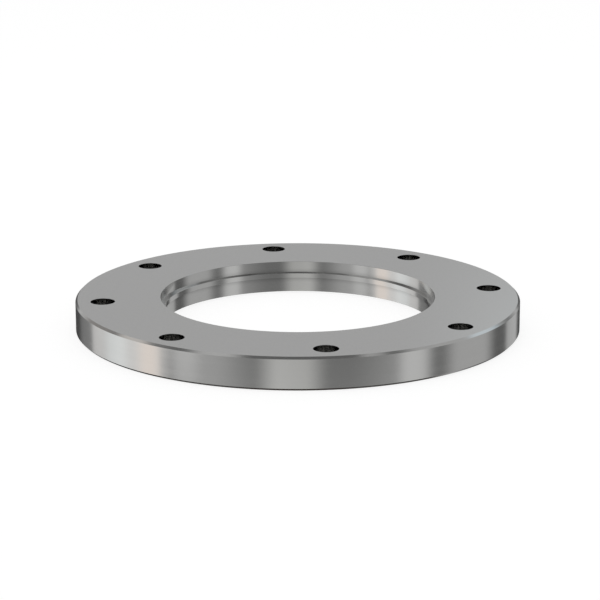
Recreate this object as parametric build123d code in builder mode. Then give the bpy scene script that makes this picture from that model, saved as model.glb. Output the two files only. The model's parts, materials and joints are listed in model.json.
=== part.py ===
from build123d import *
import os

# Fixed bolted flange of a vacuum line, turned from one plate of stainless steel. Sizes in millimetres.
# +Z is the ring's axis and points to the sealing side. The origin is the centre of the back face,
# and the first bolt hole lies on +X.

# Ring
outer_diameter = 165.0
thickness = 12.0
rim_chamfer = 0.8

# Bolt circle, set in from the rim
bolt_count = 8
bolt_hole_diameter = 9.0
rim_to_bolt_centres = 10.0

# Stepped bore: a recess for the centring ring on the sealing side, a socket for the tube at the back,
# and between them the lip that stops the tube's end
recess_diameter = 102.0
recess_depth = 4.45
socket_diameter = 102.0
lip_width = 1.3
lip_thickness = 1.9

# Radii and heights that follow from the sizes above
outer_radius = outer_diameter / 2
bolt_circle_radius = outer_radius - rim_to_bolt_centres
recess_radius = recess_diameter / 2
socket_radius = socket_diameter / 2
lip_radius = min(recess_radius, socket_radius) - lip_width
lip_top = thickness - recess_depth
lip_bottom = lip_top - lip_thickness

with BuildPart() as flange_ring:
    # Half section of the ring, turned about its axis
    with BuildSketch(Plane.XZ):
        with BuildLine():
            Polyline(
                (socket_radius, 0),
                (outer_radius, 0),
                (outer_radius, thickness),
                (recess_radius, thickness),
                (recess_radius, lip_top),
                (lip_radius, lip_top),
                (lip_radius, lip_bottom),
                (socket_radius, lip_bottom),
                close=True,
            )
        make_face()
    revolve(axis=Axis.Z)

    # The rim's two outer edges are chamfered
    rim_edges = flange_ring.edges().filter_by(GeomType.CIRCLE).group_by(SortBy.RADIUS)[-1]
    chamfer(rim_edges, length=rim_chamfer)

    # Plain bolt holes from face to face
    with PolarLocations(bolt_circle_radius, bolt_count):
        Hole(bolt_hole_diameter / 2)

flange_ring.part.label = "flange_ring"

os.makedirs("parts", exist_ok=True)
export_step(flange_ring.part, "parts/flange_ring.step")
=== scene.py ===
import json
import math

import bmesh
import bpy
from mathutils import Matrix, Vector


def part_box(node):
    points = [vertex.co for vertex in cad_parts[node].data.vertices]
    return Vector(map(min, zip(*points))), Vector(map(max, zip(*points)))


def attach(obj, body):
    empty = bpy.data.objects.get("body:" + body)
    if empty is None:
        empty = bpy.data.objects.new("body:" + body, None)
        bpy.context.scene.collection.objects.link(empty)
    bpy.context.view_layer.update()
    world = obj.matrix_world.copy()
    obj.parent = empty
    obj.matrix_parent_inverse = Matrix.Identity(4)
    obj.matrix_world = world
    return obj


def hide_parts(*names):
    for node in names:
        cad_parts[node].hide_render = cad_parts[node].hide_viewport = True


# A fixed bolted vacuum flange in turned stainless steel, on a white floor in a studio.
# Lengths are in metres. The ring's axis is Z, its back face is at height 0 and a bolt hole is on +X.

MM = 0.001

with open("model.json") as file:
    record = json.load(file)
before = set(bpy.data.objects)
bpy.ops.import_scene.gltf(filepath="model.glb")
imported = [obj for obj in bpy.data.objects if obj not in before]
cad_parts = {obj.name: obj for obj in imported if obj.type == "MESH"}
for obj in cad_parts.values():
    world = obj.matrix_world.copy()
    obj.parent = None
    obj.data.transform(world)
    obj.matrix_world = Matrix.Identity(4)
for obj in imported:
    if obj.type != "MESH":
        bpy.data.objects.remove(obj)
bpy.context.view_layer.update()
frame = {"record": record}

# Sizes of the ring, from the frame and from the mounts in its record
ring_low, ring_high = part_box("flange_ring")
mounts = {mount["name"]: mount["dims"] for mount in frame["record"]["mounts"]}
outer_radius = ring_high.x
thickness = ring_high.z
recess_radius = mounts["centring_recess"]["r_mm"] * MM
recess_depth = mounts["centring_recess"]["length_mm"] * MM
socket_radius = mounts["tube_socket"]["r_mm"] * MM
socket_depth = mounts["tube_socket"]["length_mm"] * MM
bolt_circle_radius = mounts["bolt_circle"]["pcd_mm"] / 2 * MM
bolt_hole_radius = mounts["bolt_circle"]["hole_r_mm"] * MM
bolt_count = mounts["bolt_circle"]["count"]

# Two sizes that no mount gives, as in the part's source, and the clear bore through the lip
lip_width = 1.3 * MM
rim_chamfer = 0.8 * MM
clear_radius = min(recess_radius, socket_radius) - lip_width

# The burr comes off every edge that isn't chamfered, and the hole cutters reach past both faces
edge_break = 0.05 * MM
cutter_overrun = 0.2 * MM

# Smoothness of the round surfaces
ring_segments = 360
hole_segments = 96
corner_angle = math.radians(60)
smooth_angle = math.radians(15)

# A face lies flat, square to the axis, where the Z part of its normal is more than this
flat = 0.9


# Mesh tools

def make_active(piece):
    bpy.ops.object.select_all(action="DESELECT")
    piece.select_set(True)
    bpy.context.view_layer.objects.active = piece


def put_place_in_mesh(piece):
    make_active(piece)
    bpy.ops.object.transform_apply(location=True, rotation=True, scale=True)


def start_editing(piece):
    make_active(piece)
    bpy.ops.object.mode_set(mode="EDIT")


def stop_editing():
    bpy.ops.object.mode_set(mode="OBJECT")


def pick_faces(piece, wanted):
    """Selects only the faces that wanted(centre, normal) accepts."""
    bpy.ops.mesh.select_mode(type="FACE")
    bpy.ops.mesh.select_all(action="DESELECT")
    mesh = bmesh.from_edit_mesh(piece.data)
    for face in mesh.faces:
        face.select = wanted(face.calc_center_median(), face.normal)
    mesh.select_flush_mode()
    bmesh.update_edit_mesh(piece.data)


def pick_edges(piece, wanted):
    """Selects only the edges that wanted(edge) accepts."""
    bpy.ops.mesh.select_mode(type="EDGE")
    bpy.ops.mesh.select_all(action="DESELECT")
    mesh = bmesh.from_edit_mesh(piece.data)
    mesh.normal_update()
    for edge in mesh.edges:
        edge.select = wanted(edge)
    mesh.select_flush_mode()
    bmesh.update_edit_mesh(piece.data)


def extrude_along_z(distance):
    bpy.ops.mesh.extrude_region_move(TRANSFORM_OT_translate={"value": (0, 0, distance)})


# The ring

def bore_step(piece, face_height, inwards, radius, depth):
    """Sinks one step of the bore into a flat face of the disc, and marks the clear bore at its foot."""
    pick_faces(
        piece,
        lambda centre, normal: abs(centre.z - face_height) < edge_break and abs(normal.z) > flat,
    )
    bpy.ops.mesh.inset(thickness=outer_radius - radius)
    extrude_along_z(inwards * depth)
    bpy.ops.mesh.inset(thickness=lip_width)


def is_rim_edge(edge):
    """The two outer edges of the rim, which run round the disc's caps."""
    first, second = (vertex.co for vertex in edge.verts)
    on_rim = min(first.xy.length, second.xy.length) > outer_radius - edge_break
    return on_rim and abs(first.z - second.z) < edge_break


def is_outer_corner(edge):
    """An edge that stands out and is sharp."""
    return edge.is_manifold and edge.calc_face_angle_signed() > corner_angle


def turned_ring():
    """A disc with the recess, the socket, the clear bore, the rim's chamfers and its burrs taken off."""
    bpy.ops.mesh.primitive_cylinder_add(
        vertices=ring_segments, radius=outer_radius, depth=thickness, location=(0, 0, thickness / 2)
    )
    ring = bpy.context.active_object
    put_place_in_mesh(ring)
    start_editing(ring)
    bore_step(ring, thickness, -1, recess_radius, recess_depth)
    bore_step(ring, 0, 1, socket_radius, socket_depth)
    pick_faces(ring, lambda centre, normal: abs(normal.z) > flat and centre.xy.length < clear_radius / 2)
    bpy.ops.mesh.bridge_edge_loops()
    pick_edges(ring, is_rim_edge)
    bpy.ops.mesh.bevel(offset=rim_chamfer, segments=1, affect="EDGES")
    pick_edges(ring, is_outer_corner)
    bpy.ops.mesh.bevel(offset=edge_break, segments=1, affect="EDGES")
    stop_editing()
    return ring


def hole_cutter(angle):
    """A cutter for one bolt hole, flared at both faces so that it takes off the hole's burrs."""
    straight = thickness - 2 * edge_break
    bpy.ops.mesh.primitive_cylinder_add(
        vertices=hole_segments, radius=bolt_hole_radius, depth=straight, location=(0, 0, thickness / 2)
    )
    cutter = bpy.context.active_object
    put_place_in_mesh(cutter)
    start_editing(cutter)
    flare = edge_break + cutter_overrun
    flared = (bolt_hole_radius + flare) / bolt_hole_radius
    for outwards in (1, -1):
        pick_faces(cutter, lambda centre, normal: normal.z * outwards > flat)
        extrude_along_z(outwards * flare)
        bpy.ops.transform.resize(value=(flared, flared, 1))
    stop_editing()
    cutter.location = (bolt_circle_radius * math.cos(angle), bolt_circle_radius * math.sin(angle), 0)
    return cutter


def drill(ring):
    """Cuts the bolt holes, equally spaced from +X."""
    cutters = [hole_cutter(math.tau * index / bolt_count) for index in range(bolt_count)]
    make_active(cutters[0])
    for cutter in cutters:
        cutter.select_set(True)
    bpy.ops.object.join()
    drills = bpy.context.active_object
    put_place_in_mesh(drills)
    make_active(ring)
    cut = ring.modifiers.new("bolt_holes", "BOOLEAN")
    cut.operation = "DIFFERENCE"
    cut.solver = "EXACT"
    cut.object = drills
    bpy.ops.object.modifier_apply(modifier=cut.name)
    bpy.data.objects.remove(drills)


# Material tools

def node(tree, kind, **settings):
    made = tree.nodes.new(kind)
    for name, value in settings.items():
        setattr(made, name, value)
    return made


def fill(tree, socket, value):
    """Sets a socket to a number, or links another node's output to it."""
    if isinstance(value, bpy.types.NodeSocket):
        tree.links.new(value, socket)
    else:
        socket.default_value = value


def calculate(tree, operation, *values):
    """A math node; each value is a number or another node's output."""
    made = node(tree, "ShaderNodeMath", operation=operation)
    for socket, value in zip(made.inputs, values):
        fill(tree, socket, value)
    return made.outputs[0]


def ramp_between(tree, value, start, end, low=0.0, high=1.0):
    """low at start and high at end, with a smooth passage between them."""
    made = node(tree, "ShaderNodeMapRange", interpolation_type="SMOOTHSTEP")
    tree.links.new(value, made.inputs["Value"])
    for name, number in (("From Min", start), ("From Max", end), ("To Min", low), ("To Max", high)):
        fill(tree, made.inputs[name], number)
    return made.outputs["Result"]


# Steel as machined: each finish has its colour, the spacing of its grooves in millimetres, their
# depth, and its roughness from the smoothest streak to the roughest
turned_colour = (0.6, 0.6, 0.59)
turned_pitch = 0.16
turned_depth = 0.0004 * MM
turned_roughness = (0.125, 0.145)
drilled_colour = (0.52, 0.52, 0.51)
drilled_pitch = 0.2
drilled_depth = 0.0001 * MM
drilled_roughness = (0.09, 0.11)

# Tool marks: even grooves in a small part, uneven chatter over them, and broad streaks
groove_share = 0.25
chatter_scale = 0.7
chatter_detail = 2
streak_scale = 0.9
streak_detail = 4

# A streak changes the steel's brightness and roughness over these parts of its range
brightness_span = (0.3, 0.7)
brightness = (0.992, 1.008)
roughness_span = (0.25, 0.75)

# How far the lathe's tool feeds for each millimetre down a wall, against one inwards over a face
wall_feed = 0.6

# Painted shade, darker steel in the bore's inner corners: how far it reaches, in millimetres, how much
# of the steel's brightness it leaves, and how far outside the clear bore it sets in, as the bore's wall stays
# unshaded
painted_shade_reach = 2.2
painted_shade_brightness = 0.79
painted_shade_sets_in = 0.4


def tool_marks_group():
    """Marks that a cutting tool leaves as it feeds along, in millimetres of its path."""
    group = bpy.data.node_groups.new("tool_marks", "ShaderNodeTree")
    group.interface.new_socket("Feed", in_out="INPUT", socket_type="NodeSocketFloat")
    group.interface.new_socket("Pitch", in_out="INPUT", socket_type="NodeSocketFloat")
    group.interface.new_socket("Height", in_out="OUTPUT", socket_type="NodeSocketFloat")
    group.interface.new_socket("Streak", in_out="OUTPUT", socket_type="NodeSocketFloat")
    inside = node(group, "NodeGroupInput")
    outside = node(group, "NodeGroupOutput")
    turns = calculate(group, "DIVIDE", inside.outputs["Feed"], inside.outputs["Pitch"])
    groove = calculate(group, "SINE", calculate(group, "MULTIPLY", turns, math.tau))
    chatter = node(group, "ShaderNodeTexNoise", noise_dimensions="1D")
    group.links.new(turns, chatter.inputs["W"])
    chatter.inputs["Scale"].default_value = chatter_scale
    chatter.inputs["Detail"].default_value = chatter_detail
    streak = node(group, "ShaderNodeTexNoise", noise_dimensions="1D")
    group.links.new(inside.outputs["Feed"], streak.inputs["W"])
    streak.inputs["Scale"].default_value = streak_scale
    streak.inputs["Detail"].default_value = streak_detail
    grooves = calculate(group, "MULTIPLY", groove, groove_share)
    height = calculate(group, "ADD", grooves, chatter.outputs["Fac"])
    group.links.new(height, outside.inputs["Height"])
    group.links.new(streak.outputs["Fac"], outside.inputs["Streak"])
    return group


def object_place(tree):
    """The point's distance from the ring's axis and its height, in millimetres."""
    coordinates = node(tree, "ShaderNodeTexCoord")
    parts = node(tree, "ShaderNodeSeparateXYZ")
    tree.links.new(coordinates.outputs["Object"], parts.inputs[0])
    across = calculate(tree, "MULTIPLY", parts.outputs["X"], parts.outputs["X"])
    along = calculate(tree, "MULTIPLY", parts.outputs["Y"], parts.outputs["Y"])
    radius = calculate(tree, "SQRT", calculate(tree, "ADD", across, along))
    radius_mm = calculate(tree, "DIVIDE", radius, MM)
    height_mm = calculate(tree, "DIVIDE", parts.outputs["Z"], MM)
    return radius_mm, height_mm


def away_from_corner(tree, radius_mm, height_mm, corner_height):
    """How far a point is from an inner corner of the stepped bore, in millimetres."""
    across = calculate(tree, "SUBTRACT", radius_mm, recess_radius / MM)
    along = calculate(tree, "SUBTRACT", height_mm, corner_height / MM)
    across_square = calculate(tree, "POWER", across, 2)
    along_square = calculate(tree, "POWER", along, 2)
    return calculate(tree, "SQRT", calculate(tree, "ADD", across_square, along_square))


def painted_corner_shade(tree, radius_mm, height_mm):
    """Painted shade: darker steel in the two inner corners of the stepped bore, where shade falls."""
    above_lip = away_from_corner(tree, radius_mm, height_mm, thickness - recess_depth)
    below_lip = away_from_corner(tree, radius_mm, height_mm, socket_depth)
    nearest = calculate(tree, "MINIMUM", above_lip, below_lip)
    corner_darkening = ramp_between(tree, nearest, 0, painted_shade_reach, painted_shade_brightness, 1)
    clear_mm = clear_radius / MM
    return ramp_between(tree, radius_mm, clear_mm, clear_mm + painted_shade_sets_in, 1, corner_darkening)


def steel(name, marks, colour, feed_from, pitch, depth, roughness):
    """Bare steel with a tool's marks; feed_from gives the tool's path from radius and height."""
    material = bpy.data.materials.new(name)
    material.use_nodes = True
    tree = material.node_tree
    surface = tree.nodes["Principled BSDF"]
    surface.inputs["Metallic"].default_value = 1.0
    radius_mm, height_mm = object_place(tree)
    tool = node(tree, "ShaderNodeGroup", node_tree=marks)
    tree.links.new(feed_from(tree, radius_mm, height_mm), tool.inputs["Feed"])
    tool.inputs["Pitch"].default_value = pitch
    # Painted shade in the bore's inner corners, times the tool streaks' own small change of brightness
    shade = calculate(
        tree, "MULTIPLY",
        painted_corner_shade(tree, radius_mm, height_mm),
        ramp_between(tree, tool.outputs["Streak"], *brightness_span, *brightness),
    )
    tint = node(tree, "ShaderNodeVectorMath", operation="SCALE")
    tint.inputs[0].default_value = colour
    tree.links.new(shade, tint.inputs["Scale"])
    tree.links.new(tint.outputs[0], surface.inputs["Base Color"])
    uneven = ramp_between(tree, tool.outputs["Streak"], *roughness_span, *roughness)
    tree.links.new(uneven, surface.inputs["Roughness"])
    relief = node(tree, "ShaderNodeBump")
    relief.inputs["Strength"].default_value = 1.0
    relief.inputs["Distance"].default_value = depth
    tree.links.new(tool.outputs["Height"], relief.inputs["Height"])
    tree.links.new(relief.outputs["Normal"], surface.inputs["Normal"])
    return material


def feed_of_lathe(tree, radius_mm, height_mm):
    """The lathe's tool feeds inwards over a face and down a wall, and some of each on a chamfer."""
    down = calculate(tree, "MULTIPLY", height_mm, wall_feed)
    return calculate(tree, "SUBTRACT", radius_mm, down)


def feed_of_drill(tree, radius_mm, height_mm):
    """The drill feeds straight down."""
    return height_mm


def is_in_bolt_hole(face):
    """A face of a bolt hole's wall or of its edge breaks."""
    turn = math.atan2(face.center.y, face.center.x)
    step = math.tau / bolt_count
    nearest = round(turn / step) * step
    hole = Vector((math.cos(nearest), math.sin(nearest))) * bolt_circle_radius
    return abs(face.normal.z) < flat and (face.center.xy - hole).length < bolt_hole_radius + edge_break


def finish_ring(ring):
    marks = tool_marks_group()
    turned = steel(
        "turned_steel", marks, turned_colour, feed_of_lathe, turned_pitch, turned_depth, turned_roughness
    )
    drilled = steel(
        "drilled_steel", marks, drilled_colour, feed_of_drill, drilled_pitch, drilled_depth, drilled_roughness
    )
    ring.data.materials.clear()
    ring.data.materials.append(turned)
    ring.data.materials.append(drilled)
    for face in ring.data.polygons:
        face.material_index = 1 if is_in_bolt_hole(face) else 0
    make_active(ring)
    bpy.ops.object.shade_smooth_by_angle(angle=smooth_angle)


def flange_ring():
    ring = turned_ring()
    drill(ring)
    ring.name = "finished_ring"
    finish_ring(ring)
    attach(ring, "root")
    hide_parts("flange_ring")


# Camera: it stands off the ring's front, a little to the side of one bolt hole. Its place, its turn
# and its lens come from a fit to the photo's outlines. The lens and the sensor are in millimetres.
camera_distance = 868.8 * MM
camera_elevation = math.radians(15.0)
camera_turn = math.radians(-7.748)
camera_target = (0.83 * MM, 0, 9.98 * MM)
camera_lens = 139.88
camera_sensor = 36
camera_sees_from = 0.01
camera_sees_to = 100


def place_camera():
    facing = Matrix.Rotation(camera_turn, 4, "Z")
    target = facing @ Vector(camera_target)
    back = facing @ Vector((0, -math.cos(camera_elevation), math.sin(camera_elevation)))
    data = bpy.data.cameras.new("camera")
    data.lens = camera_lens
    data.sensor_width = camera_sensor
    data.clip_start = camera_sees_from
    data.clip_end = camera_sees_to
    camera = bpy.data.objects.new("camera", data)
    camera.location = target + back * camera_distance
    camera.rotation_mode = "QUATERNION"
    camera.rotation_quaternion = (-back).to_track_quat("-Z", "Y")
    bpy.context.scene.collection.objects.link(camera)
    bpy.context.scene.camera = camera


# Floor: a grey surface with a glow that only the camera sees, so that it looks white round a soft
# shadow. The ring's walls mirror the studio round it and not the floor.
floor_size = 40.0
floor_drop = 0.05 * MM
floor_colour = (0.42, 0.42, 0.42, 1)
floor_glow_colour = (1, 1, 1, 1)
floor_glow = 0.77


def lay_floor():
    bpy.ops.mesh.primitive_plane_add(size=floor_size, location=(0, 0, -floor_drop))
    floor = bpy.context.active_object
    put_place_in_mesh(floor)
    floor.name = "floor"
    material = bpy.data.materials.new("white_floor")
    material.use_nodes = True
    tree = material.node_tree
    surface = tree.nodes["Principled BSDF"]
    surface.inputs["Base Color"].default_value = floor_colour
    surface.inputs["Roughness"].default_value = 1.0
    surface.inputs["Specular IOR Level"].default_value = 0.0
    surface.inputs["Emission Color"].default_value = floor_glow_colour
    path = node(tree, "ShaderNodeLightPath")
    glow = calculate(tree, "MULTIPLY", path.outputs["Is Camera Ray"], floor_glow)
    tree.links.new(glow, surface.inputs["Emission Strength"])
    floor.data.materials.append(material)
    floor.visible_glossy = False


# Studio: a dim round room with a white backdrop at the horizon, and cards of light on its wall and
# ceiling. Only metal shows it. The camera sees white, and the floor has its light from the world.
studio_radius = 1.65
studio_segments = 128
studio_rings = 64
room_below = 0.15
room_above = 0.16
backdrop = 1.0
floor_light = 0.5

# Elevations, in degrees as seen from the ring's middle, between which the room passes into the
# backdrop at its foot and out of it at its head
backdrop_foot = (-5, -2)
backdrop_head = (0, 3)

# Heights that several cards share: lower and upper edge and their softness, in degrees of elevation
under_sill = (-68, -8, 3)
at_sill = (-14.8, -8, 2)
at_horizon = (-3.5, 1.5, 1.5)
over_horizon = (9, 21, 3)
low_window = (8, 22, 3)
softbox_height = (18, 36, 3)

# Each card: azimuth of its middle from the camera's side towards its right, half width and soft edge,
# in degrees; its height as above; and the light that it adds, or takes away where it is below 0, as
# one number for grey or as a colour. They were set one by one until the ring mirrored the photo's bands.
light_cards = (
    ("left_window", (-100, 28, 2), under_sill, (0.43, 0.42, 0.415)),
    ("left_window_cool", (-104.3, 8.8, 5), under_sill, (0.17, 0.20, 0.21)),
    ("left_window_far", (-120.5, 4.5, 3.5), under_sill, 0.08),
    ("left_window_warm", (-79.3, 6.3, 4.5), under_sill, (0.18, 0.09, 0.03)),
    ("left_wall", (-65.5, 44.5, 24), under_sill, 0.34),
    ("left_strip", (-57, 5, 4), under_sill, 0.08),
    ("left_window_slope", (-69.5, 1.3, 2.5), under_sill, 0.09),
    ("left_window_frame", (-65.6, 1.8, 2.5), under_sill, -0.11),
    ("left_corner", (-135.5, 9, 7), (-45, -8, 3), 0.10),
    ("left_curtain", (-160, 11, 3), under_sill, -0.08),
    ("front_window", (-2.9, 12.7, 7), under_sill, (0.51, 0.51, 0.50)),
    ("right_wall", (40, 29.5, 8), under_sill, 0.145),
    ("right_corner", (54.5, 17.5, 14), under_sill, 0.13),
    ("right_strip", (59.9, 8.1, 4), under_sill, 0.29),
    ("right_window", (97.2, 16.8, 7), under_sill, 0.37),
    ("back_right_strip", (142.3, 10, 3), (-48, -8, 3), 0.365),
    ("right_curtain", (164.5, 7.5, 3), under_sill, -0.08),
    ("back_window", (180, 10, 4), under_sill, 0.06),
    ("dark_floor", (0, 181, 1), (-91, -70, 4), (-0.09, -0.10, -0.105)),
    ("dark_floor_behind", (180, 38, 5), (-68, -45, 4), (-0.08, -0.085, -0.09)),
    ("left_flag", (-161, 13, 3), at_horizon, -0.89),
    ("right_flag", (161, 13, 3), at_horizon, -0.90),
    ("left_far_sill", (-122, 10, 4), at_sill, 0.14),
    ("left_strip_sill", (-60.5, 11.5, 4), at_sill, 0.25),
    ("back_right_sill", (142, 10, 4), at_sill, 0.03),
    ("front_sill", (8, 42, 8), at_sill, -0.15),
    ("upper_walls", (0, 181, 1), (6, 50, 3), 0.09),
    ("back_wall", (180, 34, 4), (8, 57, 2), (0.243, 0.243, 0.246)),
    ("back_right_window", (166, 6.5, 4), (14.7, 24, 2.5), (0.20, 0.225, 0.235)),
    ("low_walls", (0, 131, 6), over_horizon, 0.12),
    ("left_softbox", (-82, 16, 4), softbox_height, 0.50),
    ("right_softbox", (76, 14, 4), softbox_height, 0.45),
    ("left_low_window", (-65, 20, 4), low_window, 0.48),
    ("front_low_gap", (21, 30, 6), over_horizon, -0.10),
    ("right_low_gap", (44, 5, 3), (9, 19, 3), -0.10),
    ("left_low_gap", (-98, 7, 4), (8, 18, 3), -0.11),
    ("back_left_low_window", (-133, 16, 4), (8, 17.5, 2.5), 0.28),
    ("back_right_low_window", (144, 5.7, 3), (6, 15, 3), 0.20),
    ("right_low_window", (114, 16.5, 4), low_window, (0.42, 0.44, 0.46)),
    ("right_low_window_end", (133.5, 4, 2.5), (8, 15.4, 1.2), (0.38, 0.44, 0.49)),
    ("front_softbox", (0, 71, 6), (24, 54, 4), 0.80),
    ("back_softbox", (180, 45, 6), (28, 57, 5), 0.60),
    ("back_ceiling", (180, 70, 6), (57, 70, 5), 0.50),
    ("left_skylight", (-109.4, 7.8, 3), (32.5, 45.5, 3), (0.49, 0.455, 0.43)),
    ("back_left_wall", (-131, 11, 4), (17, 33, 4), (0.08, 0.065, 0.055)),
    ("left_ceiling_lamp", (-67, 15.5, 7.5), (54.8, 70, 3.5), 0.44),
    ("right_ceiling_lamp", (64, 8.8, 3), (60, 69, 3), 0.36),
    ("right_skylight", (105.5, 22.5, 6), (21.5, 57, 4), 0.27),
    ("right_skylight_head", (86, 7, 3.5), (50, 63, 4), 0.13),
    ("back_right_lamp", (133.5, 2.5, 2.5), (19, 26, 3), 0.11),
    ("right_skylight_core", (122.3, 8.5, 3), (23, 39, 3), (0.25, 0.32, 0.37)),
)


def grey_from(tree, value):
    """A grey as bright as another node's output."""
    made = node(tree, "ShaderNodeCombineXYZ")
    for socket in made.inputs:
        tree.links.new(value, socket)
    return made.outputs[0]


def add_card(tree, light_so_far, azimuth, elevation, card):
    """The light so far with one card's light on top, inside the card's soft edges."""
    name, (centre, half_width, edge), (low, high, softness), light = card
    offset = calculate(tree, "WRAP", calculate(tree, "SUBTRACT", azimuth, centre), 180, -180)
    away = calculate(tree, "ABSOLUTE", offset)
    across = ramp_between(tree, away, half_width + edge, half_width - edge)
    over_foot = ramp_between(tree, elevation, low - softness, low + softness)
    under_head = ramp_between(tree, elevation, high + softness, high - softness)
    mask = calculate(tree, "MULTIPLY", across, calculate(tree, "MULTIPLY", over_foot, under_head))
    lit = node(tree, "ShaderNodeVectorMath", operation="MULTIPLY_ADD", label=name)
    lit.inputs[0].default_value = light if isinstance(light, tuple) else (light, light, light)
    tree.links.new(mask, lit.inputs[1])
    tree.links.new(light_so_far, lit.inputs[2])
    return lit.outputs[0]


def studio_light():
    """What the room's wall sends towards the ring, by its place as seen from the ring's middle."""
    material = bpy.data.materials.new("studio_light")
    material.use_nodes = True
    material.cycles.emission_sampling = "NONE"
    tree = material.node_tree
    tree.nodes.remove(tree.nodes["Principled BSDF"])
    coordinates = node(tree, "ShaderNodeTexCoord")
    outwards = node(tree, "ShaderNodeVectorMath", operation="NORMALIZE")
    tree.links.new(coordinates.outputs["Object"], outwards.inputs[0])
    turned = node(tree, "ShaderNodeVectorRotate", rotation_type="Z_AXIS")
    turned.inputs["Angle"].default_value = -camera_turn
    tree.links.new(outwards.outputs[0], turned.inputs["Vector"])
    parts = node(tree, "ShaderNodeSeparateXYZ")
    tree.links.new(turned.outputs[0], parts.inputs[0])
    towards_camera = calculate(tree, "MULTIPLY", parts.outputs["Y"], -1)
    azimuth = calculate(tree, "DEGREES", calculate(tree, "ARCTAN2", parts.outputs["X"], towards_camera))
    elevation = calculate(tree, "DEGREES", calculate(tree, "ARCSINE", parts.outputs["Z"]))

    up_to_backdrop = ramp_between(tree, elevation, *backdrop_foot, room_below, backdrop)
    over_backdrop = ramp_between(tree, elevation, *backdrop_head, 0, room_above - backdrop)
    light = grey_from(tree, calculate(tree, "ADD", up_to_backdrop, over_backdrop))
    for card in light_cards:
        light = add_card(tree, light, azimuth, elevation, card)
    glow = node(tree, "ShaderNodeEmission")
    tree.links.new(light, glow.inputs["Color"])
    tree.links.new(glow.outputs[0], tree.nodes["Material Output"].inputs["Surface"])
    return material


def build_studio():
    """The round room about the ring."""
    bpy.ops.object.select_all(action="DESELECT")
    bpy.ops.mesh.primitive_uv_sphere_add(
        segments=studio_segments, ring_count=studio_rings, radius=studio_radius
    )
    studio = bpy.context.active_object
    studio.name = "studio"
    studio.data.materials.append(studio_light())
    studio.visible_camera = False
    studio.visible_diffuse = False
    studio.visible_shadow = False


def light_world():
    """White for the camera, and a plain grey light for the floor."""
    world = bpy.data.worlds.new("world")
    bpy.context.scene.world = world
    world.use_nodes = True
    tree = world.node_tree
    path = node(tree, "ShaderNodeLightPath")
    light = ramp_between(tree, path.outputs["Is Camera Ray"], 0, 1, floor_light, backdrop)
    tree.links.new(light, tree.nodes["Background"].inputs["Color"])


# Overhead softbox, a little behind the ring
softbox_size = 0.6
softbox_place = (0.02, 0.15, 1.1)
softbox_watts = 1.0


def hang_softbox():
    data = bpy.data.lights.new("softbox", "AREA")
    data.shape = "SQUARE"
    data.size = softbox_size
    data.energy = softbox_watts
    lamp = bpy.data.objects.new("softbox", data)
    lamp.location = softbox_place
    bpy.context.scene.collection.objects.link(lamp)


place_camera()
flange_ring()
lay_floor()
build_studio()
light_world()
hang_softbox()
bpy.context.scene.view_settings.view_transform = "Standard"
